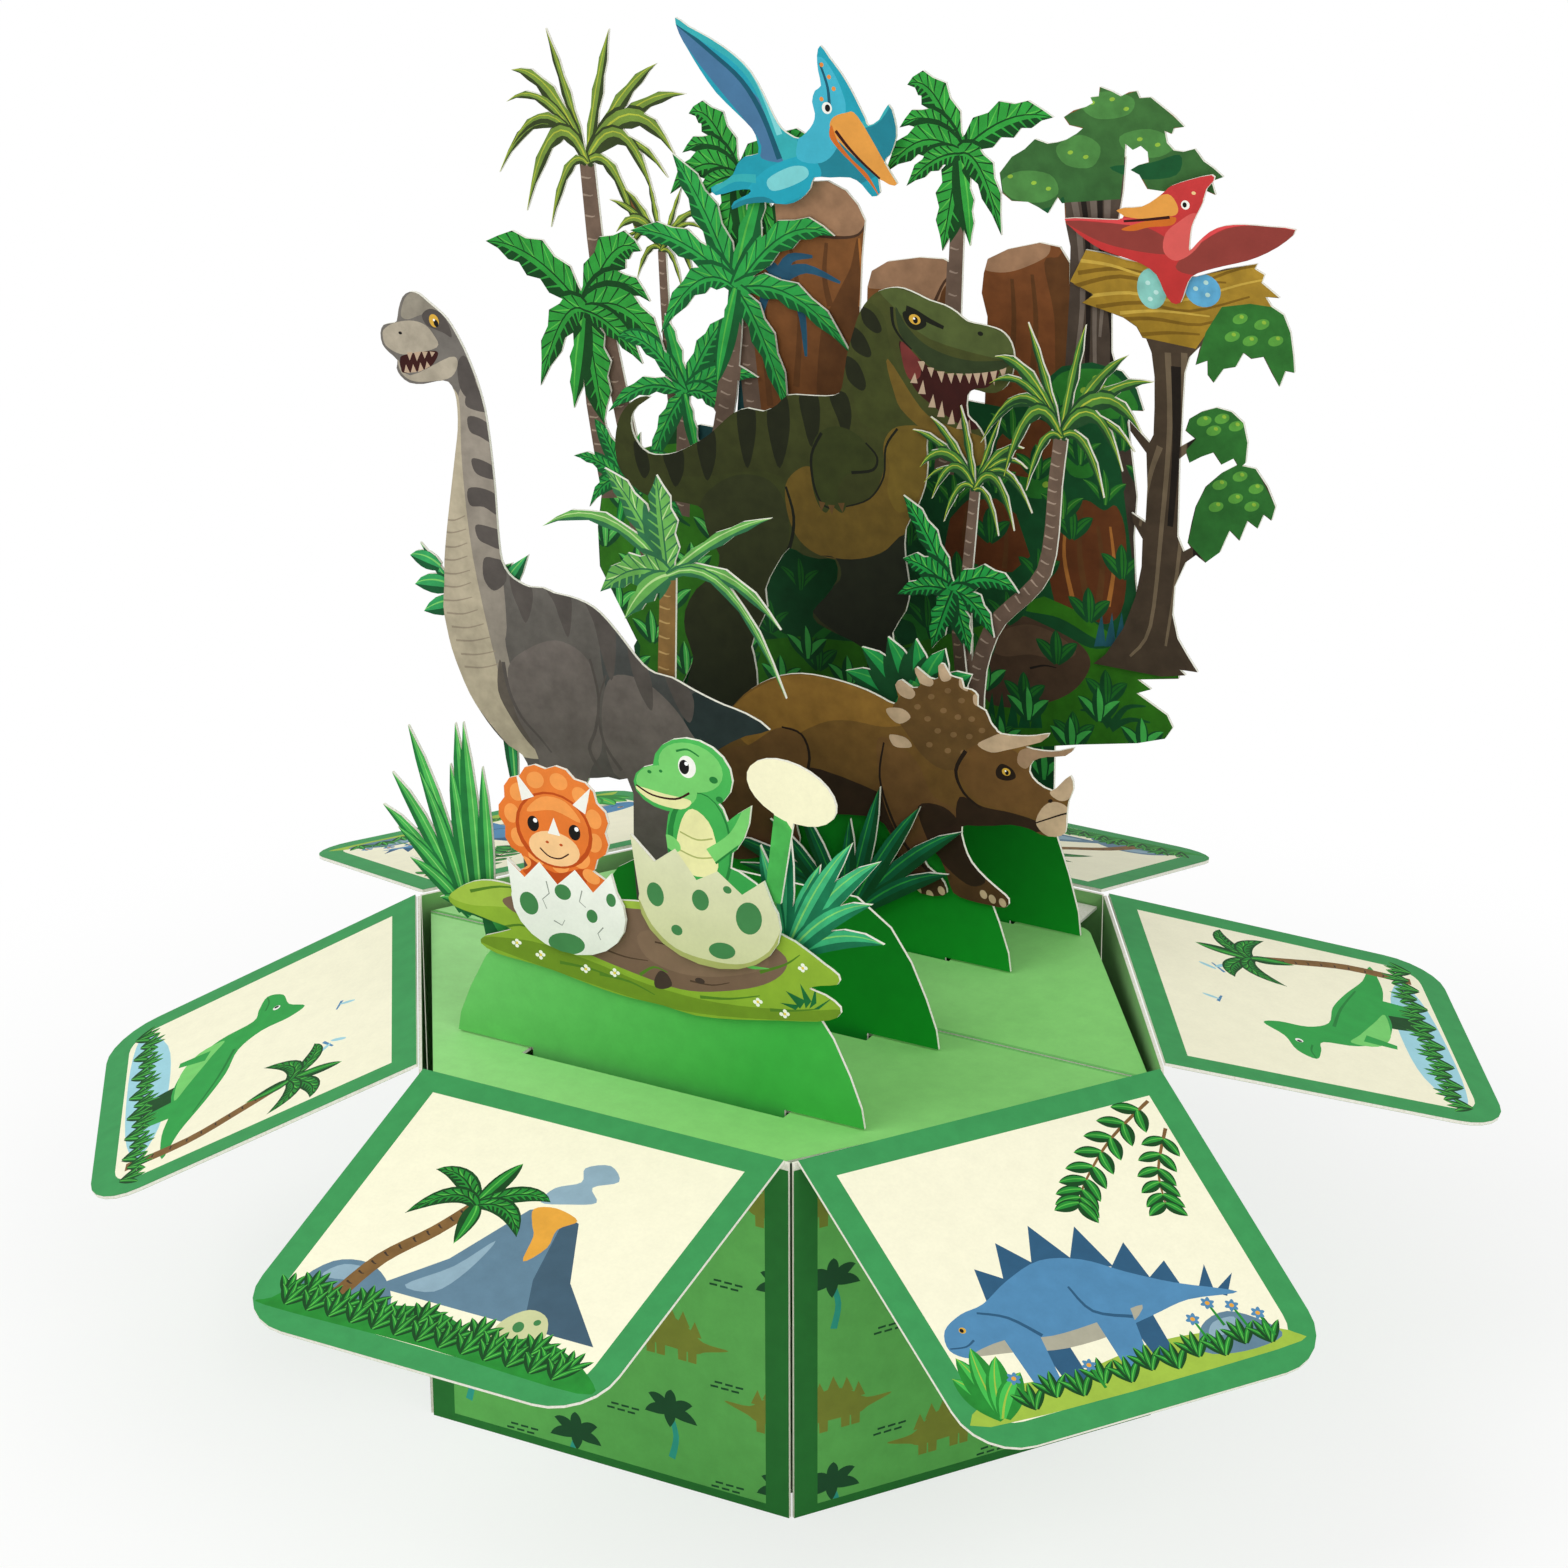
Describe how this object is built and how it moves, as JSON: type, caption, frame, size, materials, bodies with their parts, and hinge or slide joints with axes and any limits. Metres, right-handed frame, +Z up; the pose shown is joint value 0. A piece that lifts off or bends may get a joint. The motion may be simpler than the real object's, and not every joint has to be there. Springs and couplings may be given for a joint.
{
  "type": "pop-up birthday card",
  "caption": "Free-standing pop-up card: a folding hexagonal paper box with hinged rim flaps and rows of upright dinosaur and jungle cut-outs on a creased deck.",
  "frame": {"origin": "centre of the footprint at table level, under the middle crease of the box", "axes": "+Z up; +X to the right along the front wall; -Y is the front, where the hatchlings are"},
  "size_m": [0.1802, 0.1802, 0.1646],
  "materials": {
    "box_card": "printed card, mid green with a dark green border",
    "flap_card": "printed card, cream with a green border",
    "deck_card": "printed card, light green",
    "plain_card": "uncoated white card",
    "light_hill_card": "printed card, fresh green",
    "dark_hill_card": "printed card, deep green",
    "plant_card": "printed card, leaf green",
    "meadow_card": "printed card, olive grass and brown earth",
    "grey_animal_card": "printed card, warm grey",
    "brown_animal_card": "printed card, brown",
    "olive_animal_card": "printed card, dark olive",
    "orange_animal_card": "printed card, orange over a white egg",
    "green_animal_card": "printed card, green over a cream egg",
    "bubble_card": "printed card, cream",
    "blue_flyer_card": "printed card, blue",
    "red_flyer_card": "printed card, red",
    "scenery_card": "printed card, brown rocks and green palms"
  },
  "bodies": {
    "box": {"wall_front": "box_card", "deck_front_tab": "plain_card", "base_front_tab": "plain_card"},
    "front_right_wall": {"wall_front_right": "box_card"},
    "back_right_wall": {"wall_back_right": "box_card"},
    "back_wall": {"wall_back": "box_card", "seam_tab": "plain_card", "deck_rest_left": "plain_card", "deck_rest_right": "plain_card", "jungle_board": "scenery_card", "palm_grove": "plant_card", "nest_tree": "scenery_card", "nest_flyer": "red_flyer_card", "crested_flyer": "blue_flyer_card"},
    "front_left_wall": {"wall_front_left": "box_card"},
    "back_left_wall": {"wall_back_left": "box_card"},
    "front_deck": {"deck_front": "deck_card"},
    "rear_deck": {"deck_rear": "deck_card"},
    "front_base": {"base_front": "plain_card"},
    "rear_base": {"base_rear": "plain_card"},
    "first_hill": {"hill_1": "light_hill_card", "meadow": "meadow_card", "horned_hatchling": "orange_animal_card", "green_hatchling": "green_animal_card", "bubble": "bubble_card", "grass_left": "plant_card", "grass_right": "plant_card"},
    "second_hill": {"hill_2": "dark_hill_card", "sauropod": "grey_animal_card", "leafy_stems": "plant_card", "fern_palm": "plant_card"},
    "third_hill": {"hill_3": "dark_hill_card", "horned_dinosaur": "brown_animal_card", "dark_grass": "plant_card", "fern_bank": "plant_card"},
    "fourth_hill": {"hill_4": "dark_hill_card", "tyrant_dinosaur": "olive_animal_card", "palm_pair": "plant_card", "star_palm": "plant_card"},
    "front_flap": {"flap_front": "flap_card"},
    "front_right_flap": {"flap_front_right": "flap_card"},
    "back_right_flap": {"flap_back_right": "flap_card"},
    "back_flap": {"flap_back": "flap_card"},
    "back_left_flap": {"flap_back_left": "flap_card"},
    "front_left_flap": {"flap_front_left": "flap_card"}
  },
  "joints": [
    {"name": "card_fold", "type": "hinge", "parent": "box", "child": "front_right_wall", "pos_m": [0.0265, -0.04445, 0], "axis": [0, 0, -1], "range_deg": [0, 32]},
    {"name": "right_corner", "type": "hinge", "parent": "front_right_wall", "child": "back_right_wall", "pos_m": [0.05537, 0, 0], "axis": [0, 0, 1], "range_deg": [0, 64]},
    {"name": "back_right_corner", "type": "hinge", "parent": "back_right_wall", "child": "back_wall", "pos_m": [0.0265, 0.04445, 0], "axis": [0, 0, -1], "range_deg": [0, 32]},
    {"name": "front_left_corner", "type": "hinge", "parent": "box", "child": "front_left_wall", "pos_m": [-0.0265, -0.04445, 0], "axis": [0, 0, 1], "range_deg": [0, 32]},
    {"name": "left_corner", "type": "hinge", "parent": "front_left_wall", "child": "back_left_wall", "pos_m": [-0.05537, 0, 0], "axis": [0, 0, -1], "range_deg": [0, 64]},
    {"name": "front_deck_hinge", "type": "hinge", "parent": "box", "child": "front_deck", "pos_m": [0, -0.04415, 0.04935], "axis": [1, 0, 0], "range_deg": [0, 67.2]},
    {"name": "deck_crease", "type": "hinge", "parent": "front_deck", "child": "rear_deck", "pos_m": [0, -0.00003, 0.04761], "axis": [-1, 0, 0], "range_deg": [0, 134.4]},
    {"name": "front_base_hinge", "type": "hinge", "parent": "box", "child": "front_base", "pos_m": [0, -0.04415, 0.0028], "axis": [1, 0, 0], "range_deg": [0, 67.2]},
    {"name": "base_crease", "type": "hinge", "parent": "front_base", "child": "rear_base", "pos_m": [0, -0.00003, 0.00106], "axis": [-1, 0, 0], "range_deg": [0, 134.4]},
    {"name": "first_hill_crease", "type": "hinge", "parent": "front_deck", "child": "first_hill", "pos_m": [0, -0.03108, 0.04909], "axis": [-1, 0, 0], "range_deg": [0, 67.2]},
    {"name": "second_hill_crease", "type": "hinge", "parent": "front_deck", "child": "second_hill", "pos_m": [0, -0.00545, 0.0482], "axis": [-1, 0, 0], "range_deg": [0, 67.2]},
    {"name": "third_hill_crease", "type": "hinge", "parent": "rear_deck", "child": "third_hill", "pos_m": [0, 0.01846, 0.04866], "axis": [1, 0, 0], "range_deg": [0, 67.2]},
    {"name": "fourth_hill_crease", "type": "hinge", "parent": "rear_deck", "child": "fourth_hill", "pos_m": [0, 0.03214, 0.04913], "axis": [1, 0, 0], "range_deg": [0, 67.2]},
    {"name": "front_flap_hinge", "type": "hinge", "parent": "box", "child": "front_flap", "pos_m": [-0.0265, -0.04485, 0.05015], "axis": [-1, 0, 0], "range_deg": [-70, 104]},
    {"name": "front_right_flap_hinge", "type": "hinge", "parent": "front_right_wall", "child": "front_right_flap", "pos_m": [0.02684, -0.04467, 0.05015], "axis": [-0.5446, -0.8387, 0], "range_deg": [-60, 85]},
    {"name": "back_right_flap_hinge", "type": "hinge", "parent": "back_right_wall", "child": "back_right_flap", "pos_m": [0.0557, 0.00022, 0.05015], "axis": [0.5446, -0.8387, 0], "range_deg": [-70, 65]},
    {"name": "back_flap_hinge", "type": "hinge", "parent": "back_wall", "child": "back_flap", "pos_m": [0.0265, 0.04485, 0.05015], "axis": [1, 0, 0], "range_deg": [-70, 104]},
    {"name": "back_left_flap_hinge", "type": "hinge", "parent": "back_left_wall", "child": "back_left_flap", "pos_m": [-0.02684, 0.04467, 0.05015], "axis": [0.5446, 0.8387, 0], "range_deg": [-70, 55]},
    {"name": "front_left_flap_hinge", "type": "hinge", "parent": "front_left_wall", "child": "front_left_flap", "pos_m": [-0.0557, -0.00022, 0.05015], "axis": [-0.5446, 0.8387, 0], "range_deg": [-60, 85]}
  ],
  "couplings": [
    {"joint": "right_corner", "follows": "card_fold", "ratio": 2},
    {"joint": "back_right_corner", "follows": "card_fold", "ratio": 1},
    {"joint": "front_left_corner", "follows": "card_fold", "ratio": 1},
    {"joint": "left_corner", "follows": "card_fold", "ratio": 2},
    {"joint": "front_deck_hinge", "follows": "card_fold", "ratio": 2.1},
    {"joint": "deck_crease", "follows": "card_fold", "ratio": 4.2},
    {"joint": "front_base_hinge", "follows": "card_fold", "ratio": 2.1},
    {"joint": "base_crease", "follows": "card_fold", "ratio": 4.2},
    {"joint": "first_hill_crease", "follows": "card_fold", "ratio": 2.1},
    {"joint": "second_hill_crease", "follows": "card_fold", "ratio": 2.1},
    {"joint": "third_hill_crease", "follows": "card_fold", "ratio": 2.1},
    {"joint": "fourth_hill_crease", "follows": "card_fold", "ratio": 2.1}
  ]
}
